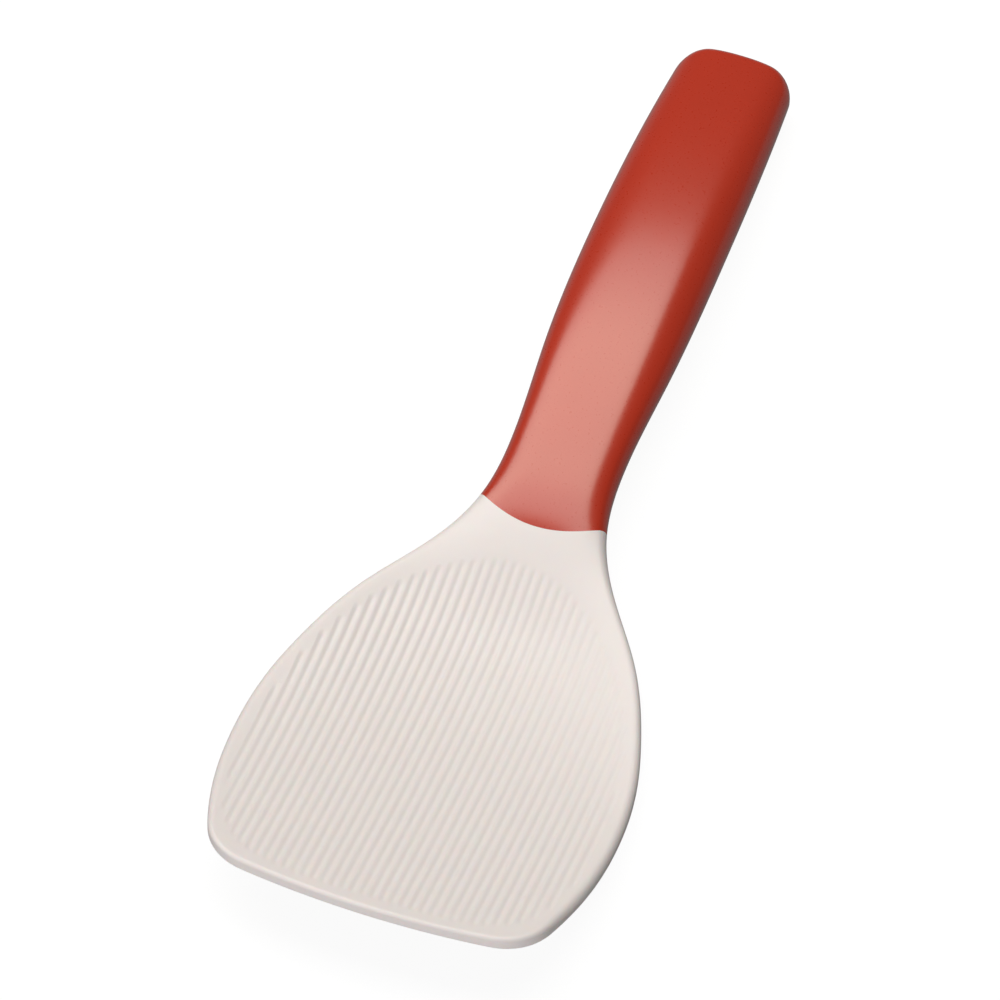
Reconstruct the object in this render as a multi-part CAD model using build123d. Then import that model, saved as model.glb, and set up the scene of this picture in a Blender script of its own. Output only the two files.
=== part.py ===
from build123d import *
from math import sqrt
import os

# Rice paddle: a white blade whose tang is moulded into a red handle.
# Millimetres. +X runs from the butt of the handle to the tip of the blade, +Y across, and +Z up from
# the table that the paddle lies on, with the hollow, ribbed face of the blade upwards. The origin is
# on the table, under the middle of the whole length.

# Sizes in plan
overall_length = 222.0
neck_distance = 106.0            # from the butt to the narrowest line of the neck
head_width = 78.7
grip_width = 27.6
neck_width = 23.5
butt_width = 23.8
butt_edge_radius = 80.0
tip_edge_radius = 180.0
butt_corner_radius = 6.5
tip_corner_radius = 10.0

# Heights of the upper side above the table, on the centre line
butt_top = 11.0
grip_top = 18.0
neck_top = 14.35
face_top = 3.25                  # the lowest place of the hollow face
tip_top = 16.95

# Heights of the upper rim above the table, at the side walls
butt_rim = 7.6
grip_rim = 13.1
neck_rim = 11.3
head_rim = 7.35                  # beside the lowest place of the face
tip_rim = 17.4

# Depth on the centre line, from the upper side to the underside
butt_depth = 11.4
grip_depth = 13.9
neck_depth = 10.1
blade_thickness = 3.6

# Edges
edge_wall = 4.0                  # side wall all round, before its two edges are taken off
upper_edge_chamfer = 1.1
lower_edge_chamfer = 0.9

# Ribs of the face, which are what stands between the grooves
rib_pitch = 2.0
groove_width = 0.85
groove_depth = 0.35
rib_side_margin = 3.7            # from the widest outline to where the grooves shrink to nothing
rib_tip_margin = 2.1             # from the scooping edge to the middle groove
rib_neck_margin = 27.5           # from the narrowest line of the neck to the middle groove

# Parting line between the handle and the neck
parting_distance = 125.25        # from the butt, on the centre line
parting_radius = 17.5

# Tang of the blade inside the handle
tang_length = 96.0
tang_width = 13.0
tang_thickness = 4.4
tang_root = 8.0                  # its part that runs back into the neck
tang_corner_radius = 4.0
window_count = 3
window_length = 15.0
window_width = 6.0
window_front_margin = 22.0       # from the parting line to the first window's middle
window_back_margin = 20.0        # from the last window's middle to the tang's end

overrun = 12.0                   # cutting shapes run past the material by this much
surface_tolerance = 0.02

# Places along the length: 0 is the butt, 1 the narrowest line of the neck and 2 the tip.
# Each guide row is a place, two sizes, and how far the guide has gone from the first to the second.
width_shares = (
    (-0.066, butt_width, grip_width, -0.290),
    (0.160, butt_width, grip_width, 0.540),
    (0.480, butt_width, grip_width, 1.000),
    (0.782, neck_width, grip_width, 0.660),
    (1.000, neck_width, grip_width, 0.000),
    (1.129, neck_width, head_width, 0.074),
    (1.224, neck_width, head_width, 0.275),
    (1.327, neck_width, head_width, 0.570),
    (1.456, neck_width, head_width, 0.821),
    (1.577, neck_width, head_width, 0.962),
    (1.698, neck_width, head_width, 1.000),
    (1.836, neck_width, head_width, 0.938),
    (1.956, neck_width, head_width, 0.773),
    (2.077, neck_width, head_width, 0.514),
)
top_shares = (
    (-0.066, butt_top, grip_top, -0.214),
    (0.198, butt_top, grip_top, 0.543),
    (0.500, butt_top, grip_top, 1.000),
    (0.782, neck_top, grip_top, 0.781),
    (1.025, face_top, neck_top, 0.964),
    (1.146, face_top, neck_top, 0.734),
    (1.232, face_top, neck_top, 0.392),
    (1.310, face_top, neck_top, 0.104),
    (1.405, face_top, neck_top, 0.000),
    (1.543, face_top, tip_top, 0.080),
    (1.698, face_top, tip_top, 0.314),
    (1.870, face_top, tip_top, 0.682),
    (2.077, face_top, tip_top, 1.193),
)
rim_shares = (
    (-0.066, butt_rim, grip_rim, -0.180),
    (0.198, butt_rim, grip_rim, 0.490),
    (0.500, butt_rim, grip_rim, 0.970),
    (0.782, neck_rim, grip_rim, 0.970),
    (1.025, head_rim, neck_rim, 0.911),
    (1.198, head_rim, neck_rim, 0.215),
    (1.405, head_rim, neck_rim, 0.000),
    (1.577, head_rim, tip_rim, 0.045),
    (1.732, head_rim, tip_rim, 0.264),
    (1.887, head_rim, tip_rim, 0.662),
    (2.077, head_rim, tip_rim, 1.219),
)
depth_shares = (
    (-0.066, butt_depth, grip_depth, -0.380),
    (0.198, butt_depth, grip_depth, 0.680),
    (0.500, butt_depth, grip_depth, 1.000),
    (0.782, neck_depth, grip_depth, 0.595),
    (1.025, blade_thickness, neck_depth, 0.966),
    (1.146, blade_thickness, neck_depth, 0.765),
    (1.232, blade_thickness, neck_depth, 0.396),
    (1.310, blade_thickness, neck_depth, 0.084),
    (1.405, blade_thickness, neck_depth, 0.000),
    (1.543, blade_thickness, neck_depth, 0.000),
    (1.698, blade_thickness, neck_depth, 0.000),
    (1.870, blade_thickness, neck_depth, 0.000),
    (2.077, blade_thickness, neck_depth, 0.000),
)
shoulder_share = 0.8             # how square the handle's section is
shoulder_fade_shares = (1.04, 1.30)   # places between which the square shoulders fade to a plain curve
surface_shares = (-0.05, 2.05)   # places between which the two faces are made
surface_width_share = 1.1        # of the half-width, so that the faces run past the outline
rib_middle_share = 0.572         # of the middle groove's length, where the ribbed field is widest
upright_share = 0.01             # a face whose normal climbs less than this stands upright
level_share = 0.8                # an edge that climbs less than this runs round the outline
surface_rows = 41
surface_columns = 13
groove_points = 9
tang_points = 9
halvings = 30

butt_x = -overall_length / 2
tip_x = overall_length / 2
neck_x = butt_x + neck_distance
parting_x = butt_x + parting_distance
cut_height = grip_top + overrun


def between(low, high, share):
    return low + (high - low) * share


def place_x(place):
    return between(butt_x, neck_x, place) if place < 1 else between(neck_x, tip_x, place - 1)


def guide(rows):
    return Spline(*[(place_x(place), between(low, high, share)) for place, low, high, share in rows])


width_guide = guide(width_shares)
top_guide = guide(top_shares)
rim_guide = guide(rim_shares)
depth_guide = guide(depth_shares)


def size_at(curve, x):
    # The guide's size where it passes x, found by halving the stretch that holds it.
    low, high = 0, 1
    for _ in range(halvings):
        middle = (low + high) / 2
        low, high = (middle, high) if (curve @ middle).X < x else (low, middle)
    return (curve @ low).Y


def squareness(x):
    # The share of the fourth power in the section at x, which makes its shoulders square.
    start, end = [place_x(place) for place in shoulder_fade_shares]
    fade = min(max((x - start) / (end - start), 0), 1)
    return shoulder_share * (1 - fade**2 * (3 - 2 * fade))


def across(x, offsets, lowered, depth_share):
    # Heights of a section at x, at the given offsets from the centre line.
    middle = size_at(top_guide, x) - size_at(depth_guide, x) * depth_share - lowered
    edge = size_at(rim_guide, x) - edge_wall * depth_share - lowered
    reach, square = size_at(width_guide, x) / 2, squareness(x)
    spread = [(y / reach) ** 2 for y in offsets]
    return [middle + (edge - middle) * ((1 - square) * s + square * s**2) for s in spread]


def long_face(depth_share):
    # The upper face of the paddle, or with depth_share 1 its underside, past the outline all round.
    start, end = [place_x(place) for place in surface_shares]
    rows = []
    for i in range(surface_rows):
        x = between(start, end, i / (surface_rows - 1))
        reach = size_at(width_guide, x) / 2 * surface_width_share
        offsets = [between(-reach, reach, j / (surface_columns - 1)) for j in range(surface_columns)]
        rows.append([(x, y, z) for y, z in zip(offsets, across(x, offsets, 0, depth_share))])
    return Face.make_surface_from_array_of_points(rows, tol=surface_tolerance, min_deg=3, max_deg=5)


def end_arc(x, radius, half_width, inwards):
    side_x = x + inwards * (radius - sqrt(radius**2 - half_width**2))
    return ThreePointArc((side_x, -half_width), (x, 0), (side_x, half_width))


def plan_outline():
    # The outline in plan: two side curves, closed by the bowed butt and the bowed scooping edge.
    side = scale(width_guide, (1, 1 / 2, 1))
    other = mirror(side, Plane.XZ)
    sides = make_face([side, Line(side @ 1, other @ 1), other, Line(side @ 0, other @ 0)])
    reach = head_width / 2 + overrun
    butt = end_arc(butt_x, butt_edge_radius, reach, 1)
    tip = end_arc(tip_x, tip_edge_radius, reach, -1)
    ends = make_face([butt, Line(butt @ 1, tip @ 1), tip, Line(butt @ 0, tip @ 0)])
    outline = sides & ends
    corners = outline.vertices().sort_by(Axis.X)
    outline = fillet(corners[:2], butt_corner_radius)
    corners = outline.vertices().sort_by(Axis.X)
    return fillet(corners[-2:], tip_corner_radius)


def rim_edges(body, side):
    # The edges round the upper side of the upright walls, or with side -1 round the lower side.
    walls = [f for f in body.faces() if abs(f.normal_at().Z) < upright_share]
    level = [[e for e in f.edges() if abs(e.tangent_at(0.5).Z) < level_share] for f in walls]
    return [max(edges, key=lambda e: side * e.center().Z) for edges in level]


def whole_paddle():
    # Both colours in one body: the plan outline raised between the two long faces, its edges taken off,
    # and its belly and butt cut flat where they lie on the table.
    column = Pos(0, 0, -overrun) * extrude(plan_outline(), cut_height + overrun)
    under_top = extrude(long_face(0), cut_height + overrun, dir=(0, 0, -1))
    under_belly = extrude(long_face(1), cut_height + overrun, dir=(0, 0, -1))
    body = (column & under_top) - under_belly
    body = chamfer(rim_edges(body, 1), upper_edge_chamfer)
    body = chamfer(rim_edges(body, -1), lower_edge_chamfer)
    table = Pos(0, 0, -overrun / 2) * Box(overall_length + overrun, head_width + overrun, overrun)
    return body - table


def groove(y, half_field):
    # One groove at y: a slot open upwards, whose floor follows the face at the groove's depth. The
    # field of grooves ends in half an ellipse towards the neck and in a squarer curve at the tip.
    back, front = neck_x + rib_neck_margin, tip_x - rib_tip_margin
    middle = between(back, front, rib_middle_share)
    lean = y / half_field
    start = middle - (middle - back) * sqrt(1 - lean**2)
    end = middle + (front - middle) * sqrt(sqrt(1 - lean**4))
    places = [between(start, end, i / (groove_points - 1)) for i in range(groove_points)]
    floor = Spline(*[(x, y, across(x, [y], groove_depth, 0)[0]) for x in places])
    lid = Polyline(floor @ 1, (end, y, cut_height), (start, y, cut_height), floor @ 0)
    return extrude(make_face([floor, lid]), groove_width / 2, dir=(0, 1, 0), both=True)


def grooves():
    # A rib runs along the middle, with the first two grooves half a pitch to either side of it.
    half_field = head_width / 2 - rib_side_margin
    side_count = int(half_field / rib_pitch + 1 / 2)
    return [groove(rib_pitch * (i + 1 / 2), half_field) for i in range(-side_count, side_count)]


def grip_side():
    # Everything on the handle's side of the parting line.
    start = parting_x - parting_radius
    arc = ThreePointArc((start, parting_radius), (parting_x, 0), (start, -parting_radius))
    back = butt_x - overrun
    frame = Polyline(arc @ 1, (back, -parting_radius), (back, parting_radius), arc @ 0)
    return Pos(0, 0, -overrun) * extrude(make_face([arc, frame]), cut_height + overrun)


def tang():
    # A flat bar along the middle of the handle's depth, with windows that the handle's plastic fills.
    start, end = parting_x - tang_length, parting_x + tang_root
    places = [between(start, end, i / (tang_points - 1)) for i in range(tang_points)]
    middles = [across(x, [0], 0, 1 / 2)[0] for x in places]
    upper = Spline(*[(x, 0, z + tang_thickness / 2) for x, z in zip(places, middles)])
    lower = Spline(*[(x, 0, z - tang_thickness / 2) for x, z in zip(places, middles)])
    profile = make_face([upper, Line(upper @ 1, lower @ 1), lower, Line(lower @ 0, upper @ 0)])
    strip = extrude(profile, tang_width / 2, dir=(0, 1, 0), both=True)
    bar = Pos((start + end) / 2, 0) * RectangleRounded(end - start, tang_width, tang_corner_radius)
    pitch = (tang_length - window_front_margin - window_back_margin) / (window_count - 1)
    for i in range(window_count):
        middle = parting_x - window_front_margin - pitch * i
        bar -= Pos(middle, 0) * SlotOverall(window_length, window_width)
    return strip & extrude(bar, cut_height)


body = whole_paddle()
handle_region = grip_side()
core = tang()
grip = (body & handle_region) - core
blade = (body - handle_region) - grooves() + core

os.makedirs("parts", exist_ok=True)
export_step(blade, "parts/blade.step")
export_step(grip, "parts/grip.step")
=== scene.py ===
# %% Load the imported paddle
import math
import bpy
import numpy as np
from mathutils import Matrix, Vector


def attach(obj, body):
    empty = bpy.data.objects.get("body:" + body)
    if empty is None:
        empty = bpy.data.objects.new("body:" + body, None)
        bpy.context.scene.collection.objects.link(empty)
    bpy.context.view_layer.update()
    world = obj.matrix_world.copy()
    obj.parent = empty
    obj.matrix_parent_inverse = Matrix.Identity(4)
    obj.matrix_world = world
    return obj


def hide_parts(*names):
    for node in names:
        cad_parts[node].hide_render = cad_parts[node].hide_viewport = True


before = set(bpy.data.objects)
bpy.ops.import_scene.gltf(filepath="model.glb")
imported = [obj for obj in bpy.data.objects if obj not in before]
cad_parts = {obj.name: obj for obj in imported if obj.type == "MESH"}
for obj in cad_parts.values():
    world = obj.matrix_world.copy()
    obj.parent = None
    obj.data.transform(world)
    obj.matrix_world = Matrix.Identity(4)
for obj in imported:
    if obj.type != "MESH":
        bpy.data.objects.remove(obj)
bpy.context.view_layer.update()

# %% [markdown]
# A rice paddle is one moulding in two colours: a white blade, broad, hollow and ribbed so that cooked
# rice lets go of it, and a red handle moulded over the blade's tang. Both share one flowing surface,
# so this scene first describes that surface once, as a few guide curves along the length, and then
# cuts the two pieces from it along the curved line where the colours meet.

# %% Sizes of the paddle, in millimetres
MM = 0.001                       # metres in a millimetre
overall_length = 222.0
neck_distance = 106.0            # from the butt to the narrowest line of the neck
head_width, grip_width, neck_width, butt_width = 78.7, 27.6, 23.5, 23.8
butt_top, grip_top, neck_top, face_top, tip_top = 11.0, 18.0, 14.35, 3.25, 16.95
butt_rim, grip_rim, neck_rim, head_rim, tip_rim = 7.6, 13.1, 11.3, 7.35, 17.4
butt_depth, grip_depth, neck_depth, blade_thickness = 11.4, 13.9, 10.1, 3.6
edge_wall = 4.0                  # side wall all round, before its edges are rounded
butt_edge_radius, tip_edge_radius = 80.0, 180.0
butt_corner_radius, tip_corner_radius = 6.5, 12.0

butt_x, tip_x = -overall_length / 2, overall_length / 2
neck_x = butt_x + neck_distance

# %% [markdown]
# Each guide is a smooth curve through a few places along the length. A place counts 0 at the butt, 1
# at the neck's narrowest line and 2 at the tip, so that a guide keeps its shape when a size changes.
# A natural cubic spline is enough here: it is what a bent wooden batten does, and it has no kinks
# that a glossy handle would show as a broken highlight.

# %% Guide curves
width_shares = (
    (-0.066, butt_width, grip_width, -0.290), (0.160, butt_width, grip_width, 0.540),
    (0.480, butt_width, grip_width, 1.000), (0.782, neck_width, grip_width, 0.660),
    (1.000, neck_width, grip_width, 0.000), (1.129, neck_width, head_width, 0.074),
    (1.224, neck_width, head_width, 0.275), (1.327, neck_width, head_width, 0.570),
    (1.456, neck_width, head_width, 0.821), (1.577, neck_width, head_width, 0.962),
    (1.698, neck_width, head_width, 1.000), (1.836, neck_width, head_width, 0.938),
    (1.956, neck_width, head_width, 0.773), (2.077, neck_width, head_width, 0.514),
)
top_shares = (
    (-0.066, butt_top, grip_top, -0.214), (0.198, butt_top, grip_top, 0.543),
    (0.500, butt_top, grip_top, 1.000), (0.782, neck_top, grip_top, 0.781),
    (1.025, face_top, neck_top, 0.964), (1.146, face_top, neck_top, 0.734),
    (1.232, face_top, neck_top, 0.392), (1.310, face_top, neck_top, 0.104),
    (1.405, face_top, neck_top, 0.000), (1.543, face_top, tip_top, 0.080),
    (1.698, face_top, tip_top, 0.314), (1.870, face_top, tip_top, 0.682),
    (2.077, face_top, tip_top, 1.193),
)
rim_shares = (
    (-0.066, butt_rim, grip_rim, -0.180), (0.198, butt_rim, grip_rim, 0.490),
    (0.500, butt_rim, grip_rim, 0.970), (0.782, neck_rim, grip_rim, 0.970),
    (1.025, head_rim, neck_rim, 0.911), (1.198, head_rim, neck_rim, 0.215),
    (1.405, head_rim, neck_rim, 0.000), (1.577, head_rim, tip_rim, 0.045),
    (1.732, head_rim, tip_rim, 0.264), (1.887, head_rim, tip_rim, 0.662),
    (2.077, head_rim, tip_rim, 1.219),
)
depth_shares = (
    (-0.066, butt_depth, grip_depth, -0.380), (0.198, butt_depth, grip_depth, 0.680),
    (0.500, butt_depth, grip_depth, 1.000), (0.782, neck_depth, grip_depth, 0.595),
    (1.025, blade_thickness, neck_depth, 0.966), (1.146, blade_thickness, neck_depth, 0.765),
    (1.232, blade_thickness, neck_depth, 0.396), (1.310, blade_thickness, neck_depth, 0.084),
    (1.405, blade_thickness, neck_depth, 0.000), (1.543, blade_thickness, neck_depth, 0.000),
    (1.698, blade_thickness, neck_depth, 0.000), (1.870, blade_thickness, neck_depth, 0.000),
    (2.077, blade_thickness, neck_depth, 0.000),
)


def between(low, high, share):
    """low at share 0, high at share 1, in a straight line."""
    return low + (high - low) * share


def ease(value):
    """Smooth step: 0 below 0, 1 above 1, and 3v^2 - 2v^3 between, which starts and ends level."""
    v = np.clip(value, 0.0, 1.0)
    return v * v * (3.0 - 2.0 * v)


def place_x(place):
    """The x of a place: butt to neck for 0 to 1, neck to tip for 1 to 2."""
    return between(butt_x, neck_x, place) if place < 1 else between(neck_x, tip_x, place - 1)


def batten(rows):
    """A natural cubic spline through the rows, as a function of an array of x.

    The bends m at the points solve one linear system: h0 m0 + 2 (h0 + h1) m1 + h1 m2 = 6 times the
    change of slope at each inner point, with no bend at the two ends."""
    x = np.array([place_x(row[0]) for row in rows])
    v = np.array([between(row[1], row[2], row[3]) for row in rows])
    h, slope = np.diff(x), np.diff(v) / np.diff(x)
    system = np.diag(np.r_[1.0, 2 * (h[:-1] + h[1:]), 1.0])
    system += np.diag(np.r_[0.0, h[1:]], 1) + np.diag(np.r_[h[:-1], 0.0], -1)
    bend = np.linalg.solve(system, np.r_[0.0, 6 * np.diff(slope), 0.0])

    def value(at):
        at = np.asarray(at, float)
        i = np.clip(np.searchsorted(x, at) - 1, 0, len(h) - 1)
        a, b = x[i + 1] - at, at - x[i]
        cubic = (bend[i] * a**3 + bend[i + 1] * b**3) / (6 * h[i])
        left, right = v[i] / h[i] - bend[i] * h[i] / 6, v[i + 1] / h[i] - bend[i + 1] * h[i] / 6
        return cubic + left * a + right * b
    return value


width_at, top_at = batten(width_shares), batten(top_shares)
rim_at, depth_at = batten(rim_shares), batten(depth_shares)
print("widest", round(float(width_at(np.linspace(0, tip_x)).max()), 1), "mm")

# %% [markdown]
# Across the paddle the height runs from the centre line to the rim. On the blade it is a plain dish,
# a square law. On the handle a share of the fourth power makes the shoulders fuller, so that the grip
# fills the hand. The plan outline is a side curve closed by a bowed butt and a bowed scooping edge,
# with circles in the corners. A circle that touches two curves has its centre one radius inside both,
# which is how the corners are found here.

# %% Outline
shoulder_share = 0.8             # how square the handle's section is
shoulder_fade = (place_x(1.04), place_x(1.30))   # where the square shoulders fade to a plain dish
hair = 0.05                      # the finished skin lies this far inside the CAD's box
side_samples, tip_samples, tip_corner_samples = 2400, 400, 240
butt_corner_samples, butt_samples = 200, 160
search_samples = 4000            # places along the side that are tried for a corner's circle


def side_curve(samples):
    """The right-hand side of the outline: x, half the width, and the inward unit normal."""
    x = np.linspace(place_x(-0.05), place_x(2.05), samples)
    y = width_at(x) / 2
    slope = np.gradient(y, x)
    length = np.sqrt(1 + slope**2)
    return x, y, slope / length, -1 / length


def end_centre(x_end, radius):
    """The centre of the bowed butt or tip, on the centre line."""
    return x_end + math.copysign(radius, -x_end)


def rounded_corner(x_end, radius, corner_radius):
    """A corner circle's centre, its two end angles, and the x where it touches the side."""
    x, y, nx, ny = side_curve(search_samples)
    cx, cy = x + nx * corner_radius, y + ny * corner_radius
    gap = np.hypot(cx - end_centre(x_end, radius), cy) - (radius - corner_radius)
    near = np.where(np.sign(x) == math.copysign(1, x_end), np.abs(gap), np.inf)
    i = int(np.argmin(near))
    start = math.atan2(-ny[i], -nx[i])
    stop = math.atan2(cy[i], cx[i] - end_centre(x_end, radius))
    return (cx[i], cy[i]), start, stop, x[i]


def arc(centre, radius, start, stop, samples):
    """Points on a circle from one angle to another: centre + radius (cos a, sin a)."""
    angle = np.linspace(start, stop, samples)
    return np.stack([centre[0] + radius * np.cos(angle), centre[1] + radius * np.sin(angle)], 1)


def half_outline():
    """The outline's right half from the tip's middle to the butt's middle, closely sampled."""
    tip_corner, tip_start, tip_stop, tip_side = rounded_corner(
        tip_x, tip_edge_radius, tip_corner_radius)
    butt_corner, butt_start, butt_stop, butt_side = rounded_corner(
        butt_x, butt_edge_radius, butt_corner_radius)
    tip_centre = (end_centre(tip_x, tip_edge_radius), 0)
    butt_centre = (end_centre(butt_x, butt_edge_radius), 0)
    x = np.linspace(tip_side, butt_side, side_samples)
    parts = [
        arc(tip_centre, tip_edge_radius, 0, tip_stop, tip_samples),
        arc(tip_corner, tip_corner_radius, tip_stop, tip_start, tip_corner_samples),
        np.stack([x, width_at(x) / 2], 1),
        arc(butt_corner, butt_corner_radius, butt_start, butt_stop, butt_corner_samples),
        arc(butt_centre, butt_edge_radius, butt_stop, math.pi, butt_samples),
    ]
    return np.concatenate([part[:-1] for part in parts] + [parts[-1][-1:]])


def left_normals(points):
    """Unit normals of a row of points, on the left of its direction."""
    step = np.gradient(points, axis=0)
    step /= np.linalg.norm(step, axis=1, keepdims=True)
    return np.stack([-step[:, 1], step[:, 0]], 1)


def arc_lengths(points):
    """Distance run along a row of points."""
    return np.r_[0.0, np.cumsum(np.linalg.norm(np.diff(points, axis=0), axis=1))]


def along(points, lengths):
    """Points at the given distances along a row of points."""
    run = arc_lengths(points)
    return np.stack([np.interp(lengths, run, points[:, i]) for i in (0, 1)], 1)


outline = half_outline()
outline = outline + left_normals(outline) * hair
outline[[0, -1], 1] = 0
outline_normals = left_normals(outline)
print("outline points", len(outline), "from", outline[0].round(2), "to", outline[-1].round(2))

# %% [markdown]
# No edge of a moulding is sharp. Within one radius of the outline the surface drops as a quarter
# circle does, so every point needs its distance from the outline. It is measured along the normal of
# the nearest outline point, which holds for a point between two samples too. Towards the scooping
# edge the radius tightens, because a thin lip slides under rice more easily.

# %% Heights of the upper side and the underside
upper_radius, lower_radius, lip_radius = 1.8, 1.4, 1.0
lip_fade = (94.0, 107.0)         # x between which both edges tighten to the lip
batch = 2000                     # points measured at a time, which spares memory


def edge_distance(x, y):
    """How far inside the outline each point is: offset from the nearest sample, along its normal."""
    flat = np.stack([x.ravel(), np.abs(y).ravel()], 1)
    result = np.empty(len(flat))
    for first in range(0, len(flat), batch):
        some = flat[first:first + batch]
        apart = some[:, None, :] - outline[None]
        nearest = np.argmin((apart**2).sum(2), 1)
        offset = apart[np.arange(len(some)), nearest]
        result[first:first + batch] = (offset * outline_normals[nearest]).sum(1)
    return result.reshape(x.shape)


def edge_radius(x, plain):
    """The radius of an edge at x: plain along the sides, the lip's at the scooping edge."""
    return between(plain, lip_radius, ease((x - lip_fade[0]) / (lip_fade[1] - lip_fade[0])))


def edge_drop(distance, radius):
    """How far a rounded edge lies below its corner: r - sqrt(r^2 - (r - d)^2) within one radius."""
    inside = np.clip(radius - distance, 0, radius)
    return radius - np.sqrt(radius**2 - inside**2)


def height(x, y, distance, under):
    """Height over the table of the upper side, or of the underside where under is 1.

    With s the offset as a share of the half-width and k the squareness, the section is
    middle + (edge - middle) ((1 - k) s^2 + k s^4). The table cuts the underside flat at 0."""
    middle = top_at(x) - depth_at(x) * under
    edge = rim_at(x) - edge_wall * under
    spread = (y / (width_at(x) / 2)) ** 2
    square = shoulder_share * (1 - ease((x - shoulder_fade[0]) / (shoulder_fade[1] - shoulder_fade[0])))
    z = middle + (edge - middle) * ((1 - square) * spread + square * spread**2)
    if under:
        return np.maximum(z + edge_drop(distance, edge_radius(x, lower_radius)), 0.0)
    return z - edge_drop(distance, edge_radius(x, upper_radius)) - hair


# %% [markdown]
# The ribs are what stands between thirty-six shallow grooves, two millimetres apart. Moulded in soft
# nylon they come out as a gentle corrugation: a cosine across, which has no edge to catch the light,
# and a slow rise at both ends. The field of grooves ends in a long rounded curve towards the neck and
# in a squarer one along the scooping edge, so a plain border is left all round.

# %% Grooves
rib_pitch, groove_depth = 2.0, 0.22
groove_reach = 0.94              # from a groove's line to where its side has risen to the face
groove_end = 2.2                 # length over which a groove rises to the face at its ends
rib_side_margin, rib_tip_margin, rib_neck_margin = 3.7, 2.1, 27.5
field_nose = 2.5                 # how much nearer the neck the middle grooves begin than the ellipse
field_widest_share = 0.572       # of the field's length, where its two ends meet
field_half = head_width / 2 - rib_side_margin
field_back, field_front = neck_x + rib_neck_margin, tip_x - rib_tip_margin
field_middle = between(field_back, field_front, field_widest_share)
side_count = int(field_half / rib_pitch + 0.5)
groove_lines = (np.arange(-side_count, side_count) + 0.5) * rib_pitch
print(len(groove_lines), "grooves, the outer ones at", groove_lines[[0, -1]], "mm")


def field_start(y):
    """Where the ribbed field begins: half an ellipse towards the neck, drawn out a little in the middle.

    With s = sqrt(1 - (y / half)^2), it lies s (reach + nose s^2) back from the field's widest place."""
    s = np.sqrt(1 - np.clip(y / field_half, -1, 1) ** 2)
    return field_middle - s * (field_middle - field_back + field_nose * s**2)


def field_stop(y):
    """Where the ribbed field ends: a squarer curve of the fourth power towards the tip."""
    aside = np.clip(y / field_half, -1, 1)
    return field_middle + (field_front - field_middle) * (1 - aside**4) ** 0.25


def groove(x, y):
    """Depth of the grooves: depth times (1 + cos(pi a)) / 2, a being the offset over the reach."""
    nearest = np.clip(np.floor(y / rib_pitch), -side_count, side_count - 1)
    line = (nearest + 0.5) * rib_pitch
    offset = np.clip(np.abs(y - line) / groove_reach, 0, 1)
    ends = ease((x - field_start(line)) / groove_end) * ease((field_stop(line) - x) / groove_end)
    return groove_depth * ends * (1 + np.cos(math.pi * offset)) / 2


# %% [markdown]
# To draw a groove cleanly, mesh lines have to run along it, so the middle of the blade is a patch
# whose columns keep a constant y. A ring of quads joins that patch to the outline, and the rounded
# rim, the side wall and the underside go on from the same ring. The colours meet along an arc round
# a centre inside the handle. Both pieces take their edge from the same arc, so they meet with no gap.

# %% Patch and parting line
parting_distance, parting_radius = 124.4, 20.2    # distance from the butt to the arc's middle
parting_samples = 400
parting_x = butt_x + parting_distance
parting_centre = parting_x - parting_radius


def patch(columns, start, stop, ends, rows):
    """A sheet of columns at constant y: rows close together near both ends, even between them.

    ends are the distances of the first rows from the start, used mirrored at the stop."""
    begin, finish = start(columns), stop(columns)
    ends = np.asarray(ends)[:, None]
    inner = np.linspace(0, 1, rows + 2)[1:-1][:, None]
    middle = between(begin + ends[-1], finish - ends[-1], inner)
    x = np.concatenate([begin + ends, middle, (finish - ends)[::-1]])
    return x, np.broadcast_to(columns, x.shape).copy()


def right_half(x, y):
    """The right half of a patch's border: far end from the middle, side, near end to the middle."""
    half = x.shape[1] // 2
    far = np.stack([x[-1, half:], y[-1, half:]], 1)
    side = np.stack([x[-2:0:-1, -1], y[-2:0:-1, -1]], 1)
    near = np.stack([x[0, ::-1][:half + 1], y[0, ::-1][:half + 1]], 1)
    return np.concatenate([far, side, near])


def parting_curve(samples):
    """The outline's index where the parting arc meets it, and the arc from there to the middle."""
    reach = np.hypot(outline[:, 0] - parting_centre, outline[:, 1])
    ahead = (outline[:, 0] > parting_centre) & (outline[:, 0] < parting_x)
    i = int(np.argmin(np.where(ahead, np.abs(reach - parting_radius), np.inf)))
    corner = math.atan2(outline[i, 1], outline[i, 0] - parting_centre)
    return i, arc((parting_centre, 0), parting_radius, corner, 0, samples)


parting_index, parting = parting_curve(parting_samples)
parting[0] = outline[parting_index]
print("parting line meets the side at", outline[parting_index].round(2))

# %% [markdown]
# Each line of the ring starts at a point of the patch's border and ends at a point of the piece's
# edge. Matching a few corners of the two, and sharing out the length between them, keeps the lines
# from crossing. Near the edge the lines stand square to it, so that the rows of the rounded rim stay
# parallel to the outline. Where the outline meets the parting line there is a corner, and the strips
# of its two sides meet further in: at band / tan(half the corner's angle) along each side. That place
# is found here as the crossing of the two sides' inset curves, and the lines are shifted to suit.

# %% Ring lines from the patch to the edge
edge_steps = 8                   # quads over a quarter-round edge
band_width = 2.4                 # strip along the edge whose rows run parallel to it
band_share = 0.6                 # the strip's largest share of the way to the patch
band_slack = 0.04                # the least room between the rounded edge and the strip's inner side
corner_reach = 18.0              # length over which the lines fan out from a corner
join_steps = 6                   # quads between that strip and the patch


def strip_meeting(sides, normals):
    """Where the insets of a corner's two sides cross: the number of a point along each side."""
    insets = [side + normal * band_width for side, normal in zip(sides, normals)]
    apart = np.linalg.norm(insets[0][:, None] - insets[1][None], axis=2)
    return np.unravel_index(np.argmin(apart), apart.shape)


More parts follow.
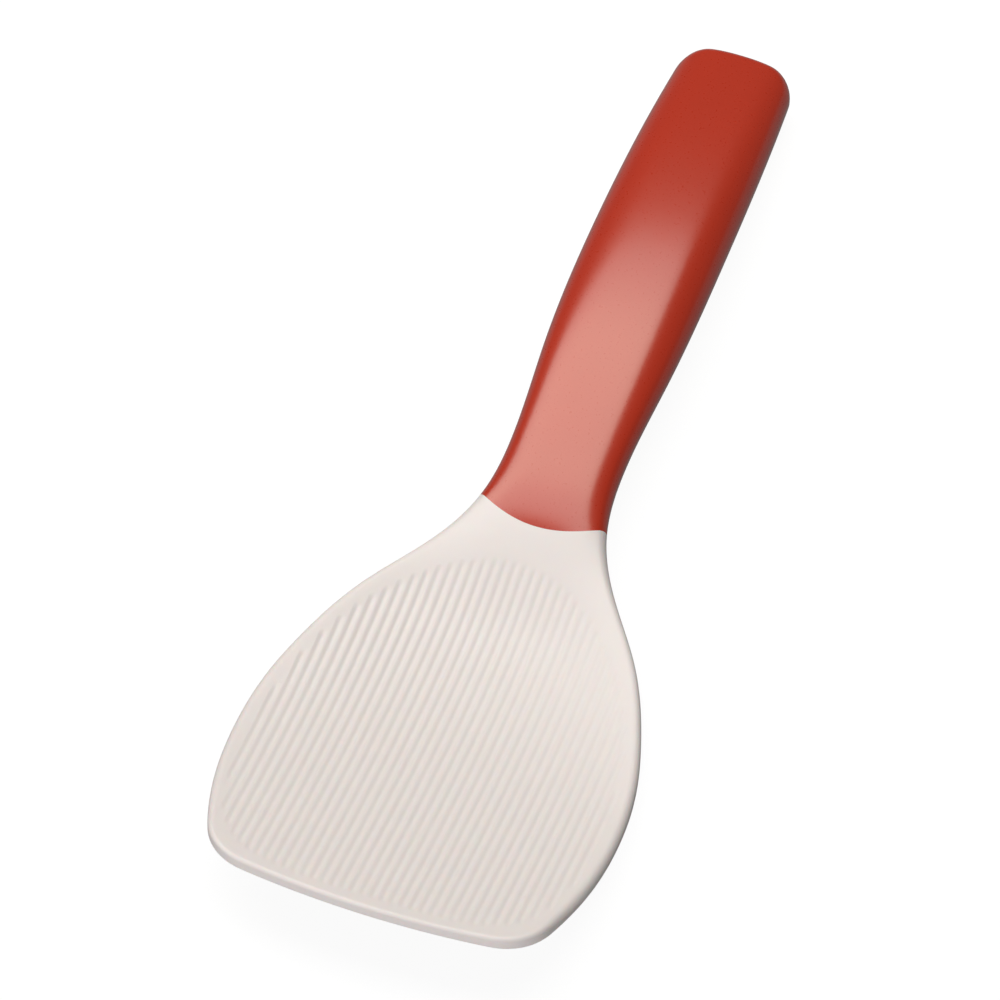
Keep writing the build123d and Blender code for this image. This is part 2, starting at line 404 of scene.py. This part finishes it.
def ring_lines(inner, outer, corner_index, inner_anchors, outer_anchors):
    """For each border point: its edge point, its strip point, and the strip's width there."""
    run = arc_lengths(inner)
    lengths = np.interp(run, run[inner_anchors], outer_anchors)
    on_edge = along(outer, lengths)
    gap = np.linalg.norm(inner - on_edge, axis=1)
    least = edge_radius(on_edge[:, 0], upper_radius) + band_slack
    band = np.maximum(np.minimum(band_share * gap, band_width), least)
    corner = arc_lengths(outer)[corner_index]
    sides = (outer[:corner_index + 1][::-1], outer[corner_index:])
    normals = (-left_normals(sides[0]), left_normals(sides[1]))
    meeting = strip_meeting(sides, normals)
    on_strip = np.empty_like(on_edge)
    for k, here in enumerate((lengths <= corner, lengths > corner)):
        side_run = arc_lengths(sides[k])
        back, reach = side_run[meeting[k]], min(corner_reach, side_run[-1])
        away = np.abs(lengths[here] - corner)
        away = np.where(away < reach, back + away * (reach - back) / reach, away)
        inward = np.stack([np.interp(away, side_run, normals[k][:, i]) for i in (0, 1)], 1)
        inward /= np.linalg.norm(inward, axis=1, keepdims=True)
        on_strip[here] = along(sides[k], away) + inward * band[here, None]
    return on_edge, on_strip, band


def both_halves(right):
    """A closed loop from its right half: the mirrored points follow in reverse."""
    left = right[-2:0:-1].copy()
    if right.ndim > 1:
        left[:, 1] *= -1
    return np.concatenate([right, left])


# %% [markdown]
# Both mouldings are closed shells. The ring's rows run from the patch's border out to the edge, down
# the wall and back in under the piece, and each row is joined to the next by quads. The rows of a
# rounded edge are spaced as equal angles on its quarter circle are, at 1 - sin(angle) of its radius,
# so a bright reflection runs round it evenly. Shared points keep the shading smooth, and only the
# edges along the parting line, which turn by a right angle, are marked sharp.

# %% Closed shell of one piece
sharp_angle = 50.0               # degrees; only the edges along the parting line turn by more


def border_loop(rows, columns):
    """The numbers of a patch's border points, in the ring's order: from the far end's middle round."""
    index = np.arange(rows * columns).reshape(rows, columns)
    half = columns // 2
    return np.concatenate([index[-1, half:], index[-2:0:-1, -1], index[0, ::-1], index[1:-1, 0],
                           index[-1, :half]])


def ring_rows(border, ring, on_rim):
    """The ring's points, row by row: out to the edge, round it, down the wall, round and back in.

    on_rim tells which lines end on the paddle's outline and not on the parting line. Their distance
    from the outline is known, and for the others it is measured."""
    on_edge, on_strip, band = ring
    quarter = 1 - np.sin(np.linspace(math.pi / 2, 0, edge_steps + 1))
    joins = [between(border, on_strip, share) for share in np.linspace(0, 1, join_steps + 1)[1:]]
    inwards = (on_strip - on_edge) / band[:, None]
    upper_turn = edge_radius(on_edge[:, 0], upper_radius) * quarter[::-1, None]
    lower_turn = edge_radius(on_edge[:, 0], lower_radius) * quarter[:, None]
    turn = np.concatenate([upper_turn, lower_turn])
    plan = np.concatenate([joins, on_edge + inwards * turn[..., None], joins[::-1]])
    distance = edge_distance(plan[..., 0], plan[..., 1])
    first = len(joins)
    known = distance[first:first + len(turn)]
    known[:, on_rim] = turn[:, on_rim]
    under = np.arange(len(plan)) >= first + len(upper_turn)
    z = np.array([height(p[:, 0], p[:, 1], d, u) for p, d, u in zip(plan, distance, under)])
    return np.concatenate([plan, z[..., None]], 2)


def shell_faces(rows, columns, loop, ring_count):
    """Quads of the upper patch, of the lower one, and of the ring that joins their borders."""
    sheet_size = rows * columns
    index = np.arange(sheet_size).reshape(rows, columns)
    sheet = np.stack([index[:-1, :-1], index[1:, :-1], index[1:, 1:], index[:-1, 1:]], 2)
    sheet = sheet.reshape(-1, 4)
    around = np.arange(len(loop))
    loops = [2 * sheet_size + k * len(loop) + around for k in range(ring_count)]
    loops = [loop] + loops + [loop + sheet_size]
    faces = [sheet, sheet[:, ::-1] + sheet_size]
    faces += [np.stack([a, b, np.roll(b, -1), np.roll(a, -1)], 1) for a, b in zip(loops[:-1], loops[1:])]
    return np.concatenate(faces)


def moulding(name, x, y, ring, on_rim, carve):
    """One piece: its patch above, cut by what carve gives, the ring round it, and its patch below."""
    loop = border_loop(*x.shape)
    border = np.stack([x.ravel()[loop], y.ravel()[loop]], 1)
    rim = ring_rows(border, [both_halves(values) for values in ring], both_halves(on_rim))
    inside = edge_distance(x, y)
    top = height(x, y, inside, 0) - carve(x, y)
    bottom = height(x, y, inside, 1)
    sheets = [np.stack([x, y, z], 2).reshape(-1, 3) for z in (top, bottom)]
    points = np.concatenate(sheets + [rim.reshape(-1, 3)])
    faces = shell_faces(*x.shape, loop, len(rim))
    mesh = bpy.data.meshes.new(name)
    mesh.from_pydata((points * MM).tolist(), [], faces.tolist())
    mesh.polygons.foreach_set("use_smooth", np.ones(len(mesh.polygons), bool))
    mesh.set_sharp_from_angle(angle=math.radians(sharp_angle))
    piece = bpy.data.objects.new(name, mesh)
    bpy.context.collection.objects.link(piece)
    print(name, len(mesh.vertices), "points", len(mesh.polygons), "faces")
    return piece


# %% [markdown]
# The blade's patch has nine columns over each groove and one along the crest of each rib. Its rows
# crowd together at both ends, where the grooves rise to the face, and are wider apart between, where
# a groove runs straight. The patch's own ends follow the field's ends, a small margin outside them.

# %% The white blade
groove_shares = (-1.0, -0.75, -0.5, -0.25, 0.0, 0.25, 0.5, 0.75, 1.0)    # of the groove's reach
blade_half = 36.0                # half the patch's width
back_margin, front_margin = 1.1, 0.3     # from the ends of the grooves to the patch's border
end_rows = (0, 0.4, 0.8, 1.1, 1.4, 1.7, 2.0, 2.3, 2.6, 2.9, 3.2, 3.5, 3.8, 4.2, 4.8)
middle_rows = 34
field_inset_share = 0.985        # keeps the margin's curve from ending before the patch's side
neck_corner_offset = 9.0         # of the border point that faces the parting line's end

columns = (groove_lines[:, None] + groove_reach * np.array(groove_shares)).ravel()
columns = np.unique(np.r_[columns, groove_lines + rib_pitch / 2, -blade_half, blade_half].round(6))


def blade_start(y):
    """Where the patch begins, a margin behind the grooves."""
    return field_start(y * field_inset_share) - back_margin


def blade_stop(y):
    """Where the patch ends, a margin ahead of the grooves."""
    return field_stop(y * field_inset_share) + front_margin


def nearest_length(points, place):
    """Distance along a row of points of the one nearest to a place."""
    return arc_lengths(points)[int(np.argmin(((points - place) ** 2).sum(1)))]


blade_x, blade_y = patch(columns, blade_start, blade_stop, end_rows, middle_rows)
inner = right_half(blade_x, blade_y)
outer = np.concatenate([outline[:parting_index], parting])
run = arc_lengths(outer)
half, rows = blade_x.shape[1] // 2, blade_x.shape[0]
near_corner = half + rows - 1
neck_corner = near_corner + int(np.argmin(np.abs(inner[near_corner:, 1] - neck_corner_offset)))
inner_anchors = [0, half, near_corner, neck_corner, len(inner) - 1]
outer_anchors = [0, nearest_length(outer, inner[half]), nearest_length(outer, inner[near_corner]),
                 run[parting_index], run[-1]]
print("blade corners at border points", inner_anchors, "and lengths", np.round(outer_anchors, 1))
ring = ring_lines(inner, outer, parting_index, inner_anchors, outer_anchors)
on_rim = np.arange(len(inner)) <= neck_corner
blade = moulding("white_blade", blade_x, blade_y, ring, on_rim, groove)

# %% [markdown]
# The handle has no ribs, so its patch is an even strip along the middle. Its far end follows the
# parting line and its near end the bowed butt.

# %% The red handle
handle_half, handle_columns, handle_rows = 7.0, 57, 150
handle_end_rows = (0, 0.5, 1.0)
butt_margin, parting_margin = 5.5, 3.0
butt_corner_place = np.array([butt_x + 1.6, 10.4])    # the outline's point that faces the patch's corner


def handle_start(y):
    """Parallel to the bowed butt."""
    return butt_x + butt_margin + butt_edge_radius - np.sqrt(butt_edge_radius**2 - y**2)


def handle_stop(y):
    """Parallel to the parting line."""
    return parting_centre + np.sqrt((parting_radius - parting_margin) ** 2 - y**2)


def no_grooves(x, y):
    """The handle's face is plain."""
    return np.zeros_like(x)


grip_columns = np.linspace(-handle_half, handle_half, handle_columns)
grip_x, grip_y = patch(grip_columns, handle_start, handle_stop, handle_end_rows, handle_rows)
inner = right_half(grip_x, grip_y)
outer = np.concatenate([parting[::-1][:-1], outline[parting_index:]])
corner_index = len(parting) - 1
run = arc_lengths(outer)
half, rows = grip_x.shape[1] // 2, grip_x.shape[0]
inner_anchors = [0, half, half + rows - 1, len(inner) - 1]
outer_anchors = [0, run[corner_index], nearest_length(outer, butt_corner_place), run[-1]]
print("handle corners at border points", inner_anchors, "and lengths", np.round(outer_anchors, 1))
ring = ring_lines(inner, outer, corner_index, inner_anchors, outer_anchors)
on_rim = np.arange(len(inner)) >= half
grip = moulding("red_handle", grip_x, grip_y, ring, on_rim, no_grooves)

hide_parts("blade")
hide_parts("grip")
for piece in (blade, grip):
    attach(piece, "root")

# %% [markdown]
# Both materials are thermoplastics, so both are a Principled shader with no metal in it. One helper
# adds a node: plain values are set on its sockets and sockets are linked. Every pattern reads object
# coordinates, which are metres on these pieces, so a noise of scale 1 / size has grains of that size.

# %% Helpers for materials
def linear(hex_colour):
    """An sRGB hex colour as linear RGBA: c / 12.92 in the toe, ((c + 0.055) / 1.055)^2.4 above it."""
    parts = [int(hex_colour[i:i + 2], 16) / 255 for i in (1, 3, 5)]
    return [c / 12.92 if c <= 0.04045 else ((c + 0.055) / 1.055) ** 2.4 for c in parts] + [1.0]


def add(tree, kind, **inputs):
    """Add a node, set its plain values and link its sockets."""
    made = tree.nodes.new(kind)
    for name, value in inputs.items():
        socket = made.inputs[name.replace("_", " ")]
        if isinstance(value, bpy.types.NodeSocket):
            tree.links.new(value, socket)
        else:
            socket.default_value = value
    return made


def empty_material(name):
    """A material with an empty node tree and an output, and that output's surface socket."""
    made = bpy.data.materials.new(name)
    made.use_nodes = True
    made.node_tree.nodes.clear()
    output = made.node_tree.nodes.new("ShaderNodeOutputMaterial")
    return made, made.node_tree, output.inputs["Surface"]


# %% [markdown]
# The blade is satin nylon. It is a warm white, a little uneven where the melt cooled at its own pace,
# and its mould was blasted, which leaves a grain of a few tenths of a millimetre that spreads the
# highlights. Light also enters nylon for about half a millimetre, which softens the ribs' shading.

# %% White nylon
nylon_white = "#F1E9E6"
grain_size, cloud_size, grain_height = 0.35, 6.0, 0.006
nylon_clouding = 0.015           # how far the colour's value strays from place to place
nylon_roughness = (0.42, 0.52)
nylon_depth = 0.5                # millimetres that light travels inside


def white_nylon():
    """A clouded colour, a grained roughness and bump, and a little light let in."""
    made, tree, surface = empty_material("white_nylon")
    place = add(tree, "ShaderNodeTexCoord").outputs["Object"]
    clouds = add(tree, "ShaderNodeTexNoise", Vector=place, Scale=1 / (cloud_size * MM), Detail=3.0)
    value = add(tree, "ShaderNodeMapRange", Value=clouds.outputs[0],
                To_Min=1 - nylon_clouding, To_Max=1 + nylon_clouding)
    colour = add(tree, "ShaderNodeHueSaturation", Color=linear(nylon_white), Value=value.outputs[0])
    grain = add(tree, "ShaderNodeTexNoise", Vector=place, Scale=1 / (grain_size * MM), Detail=2.0)
    rough = add(tree, "ShaderNodeMapRange", Value=grain.outputs[0],
                To_Min=nylon_roughness[0], To_Max=nylon_roughness[1])
    bump = add(tree, "ShaderNodeBump", Height=grain.outputs[0], Distance=grain_height * MM, Strength=1.0)
    shader = add(tree, "ShaderNodeBsdfPrincipled", Base_Color=colour.outputs[0],
                 Roughness=rough.outputs[0], Normal=bump.outputs[0], IOR=1.53,
                 Subsurface_Weight=0.15, Subsurface_Scale=nylon_depth * MM)
    tree.links.new(shader.outputs[0], surface)
    return made


blade.data.materials.append(white_nylon())

# %% [markdown]
# The handle is a harder plastic in orange-red, from a fine-ground mould. Its gloss is soft: a clear
# skin over the colour mirrors the softbox, and a fine grain blurs the mirror image's border. Glossy
# mouldings are never quite flat, so a wave of hundredths of a millimetre, a centimetre long, bends
# that border a little. The reflection under the skin is tinted slightly warm, as the highlight is.

# %% Red plastic
plastic_red, warm_reflection = "#BC2E11", "#FFF2E0"
wave_size, wave_height, skin_size = 11.0, 0.02, 0.5
red_clouding = 0.03              # how far the colour's value strays from place to place
red_roughness, skin_roughness = (0.24, 0.34), 0.2


def red_plastic():
    """A clouded colour under a clear skin, both on the same slow wave."""
    made, tree, surface = empty_material("red_plastic")
    place = add(tree, "ShaderNodeTexCoord").outputs["Object"]
    clouds = add(tree, "ShaderNodeTexNoise", Vector=place, Scale=1 / (wave_size * MM), Detail=2.0)
    value = add(tree, "ShaderNodeMapRange", Value=clouds.outputs[0],
                To_Min=1 - red_clouding, To_Max=1 + red_clouding)
    colour = add(tree, "ShaderNodeHueSaturation", Color=linear(plastic_red), Value=value.outputs[0])
    skin = add(tree, "ShaderNodeTexNoise", Vector=place, Scale=1 / (skin_size * MM), Detail=2.0)
    rough = add(tree, "ShaderNodeMapRange", Value=skin.outputs[0],
                To_Min=red_roughness[0], To_Max=red_roughness[1])
    wave = add(tree, "ShaderNodeBump", Height=clouds.outputs[0], Distance=wave_height * MM, Strength=1.0)
    shader = add(tree, "ShaderNodeBsdfPrincipled", Base_Color=colour.outputs[0],
                 Roughness=rough.outputs[0], Normal=wave.outputs[0], IOR=1.5,
                 Specular_Tint=linear(warm_reflection), Coat_Weight=0.85,
                 Coat_Roughness=skin_roughness, Coat_IOR=1.5, Coat_Normal=wave.outputs[0])
    tree.links.new(shader.outputs[0], surface)
    return made


grip.data.materials.append(red_plastic())

# %% [markdown]
# The floor is a plain matt sheet. A pale one would throw light up at the handle's sides, which are
# deep red, so the sheet itself is grey and only a ray that the camera sees gets the rest of white from
# it: directly, through something clear, or in a mirror image. A mirror image gets only a share of it,
# or the handle's sides would turn pale. The glow lights nothing else, so a soft shadow still shows.

# %% Floor
floor_grey = "#606060"
floor_reach, floor_lift = 3.0, 0.93      # metres from the middle to a side, and the glow that is added
mirror_share = 0.15              # of that glow, in the mirror image on a glossy side


def floor_paper():
    """Matt grey, with a glow for seen rays and a share of it for mirrored ones."""
    made, tree, surface = empty_material("floor_paper")
    paper = add(tree, "ShaderNodeBsdfDiffuse", Color=linear(floor_grey))
    ray = add(tree, "ShaderNodeLightPath").outputs
    mirrored = add(tree, "ShaderNodeMapRange", Value=ray["Is Glossy Ray"], To_Max=mirror_share)
    clear = add(tree, "ShaderNodeMath", Value=ray["Is Camera Ray"])
    tree.links.new(ray["Is Transmission Ray"], clear.inputs[1])
    seen = add(tree, "ShaderNodeMath", Value=clear.outputs[0])
    tree.links.new(mirrored.outputs[0], seen.inputs[1])
    lift = add(tree, "ShaderNodeMapRange", Value=seen.outputs[0], To_Max=floor_lift)
    glow = add(tree, "ShaderNodeEmission", Strength=lift.outputs[0])
    both = tree.nodes.new("ShaderNodeAddShader")
    tree.links.new(paper.outputs[0], both.inputs[0])
    tree.links.new(glow.outputs[0], both.inputs[1])
    tree.links.new(both.outputs[0], surface)
    return made


floor_mesh = bpy.data.meshes.new("floor")
corners = [(a * floor_reach, b * floor_reach, 0) for a, b in ((-1, -1), (1, -1), (1, 1), (-1, 1))]
floor_mesh.from_pydata(corners, [], [(0, 1, 2, 3)])
floor = bpy.data.objects.new("floor", floor_mesh)
bpy.context.collection.objects.link(floor)
floor.data.materials.append(floor_paper())

# %% [markdown]
# The picture is a product shot through a long lens, from the scooping side and from above. A long
# lens far away keeps the blade and the butt at one scale. The camera is placed by its bearing and
# height angle about an aim point on the paddle, and then rolled a little about its own axis.

# %% Camera
view_bearing, view_height, view_roll = 18.86, 55.24, 1.25     # degrees
aim = Vector((8.02, -9.14, 8.0)) * MM
away = 1850.2 * MM
focal_pixels, picture_pixels, sensor = 9432.0, 1000.0, 36.0    # the sensor in millimetres


def direction(bearing, height_angle):
    """The unit vector of a bearing from +X and an angle above the table, both in degrees."""
    turn, rise = math.radians(bearing), math.radians(height_angle)
    return Vector((math.cos(rise) * math.cos(turn), math.cos(rise) * math.sin(turn), math.sin(rise)))


def facing(towards, roll=0.0):
    """A rotation whose -Z looks against a direction and whose Y is up, rolled about its own Z."""
    upright = towards.to_track_quat("Z", "Y").to_matrix().to_4x4()
    return upright @ Matrix.Rotation(math.radians(roll), 4, "Z")


towards = direction(view_bearing, view_height)
camera_data = bpy.data.cameras.new("camera")
camera_data.sensor_width = sensor
camera_data.lens = focal_pixels * sensor / picture_pixels
camera_data.clip_end = 100       # metres
camera = bpy.data.objects.new("camera", camera_data)
camera.matrix_world = Matrix.Translation(aim + towards * away) @ facing(towards, view_roll)
bpy.context.collection.objects.link(camera)
bpy.context.scene.camera = camera
print("camera at", [round(value, 3) for value in camera.matrix_world.translation], "m")

# %% [markdown]
# The light is a wide softbox overhead, on the side away from the camera, so that the handle mirrors
# it along its top. A narrow core near its middle, a little warmer, makes that reflection swell
# towards the neck and fade towards the butt. A low box in front lights the scooping edge, whose wall
# would face the dark. It is kept out of mirror images, where it would glare from behind. The world's
# plain light stands for the walls of the room. A lamp's power is worked out from the brightness of its
# face: a flat face of area A that shines evenly sends out pi A times its brightness.

# %% Light
wall_brightness = 0.12
front_distance, front_height_angle = 1.4, 8.0     # metres and degrees

world = bpy.data.worlds.new("studio")
bpy.context.scene.world = world
world.use_nodes = True
background = world.node_tree.nodes["Background"].inputs
background["Color"].default_value = (1, 1, 1, 1)
background["Strength"].default_value = wall_brightness


def softbox(name, place, turn, width, length, brightness, tint="#FFFFFF"):
    """A rectangular lamp, in metres, turned from facing straight down, its face of one brightness."""
    data = bpy.data.lights.new(name, "AREA")
    data.shape = "RECTANGLE"
    data.size, data.size_y = width, length
    data.energy = math.pi * width * length * brightness
    data.color = linear(tint)[:3]
    lamp = bpy.data.objects.new(name, data)
    lamp.matrix_world = Matrix.Translation(place) @ turn
    bpy.context.collection.objects.link(lamp)
    return lamp


level = Matrix.Identity(4)
softbox("overhead", Vector((-0.53, -0.75, 1.3)), level, width=1.08, length=2.5, brightness=2.9)
softbox("core", Vector((-0.57, -0.75, 1.28)), level, width=0.4, length=2.5, brightness=1.3,
        tint="#FFF4D0")
front = direction(0, front_height_angle)
fill = softbox("front fill", front * front_distance, facing(front), width=1.4, length=0.38,
               brightness=7.5)
fill.visible_glossy = False

# %% [markdown]
# The last cell sets the view transform to Standard.

# %% Finish
bpy.context.scene.view_settings.view_transform = "Standard"
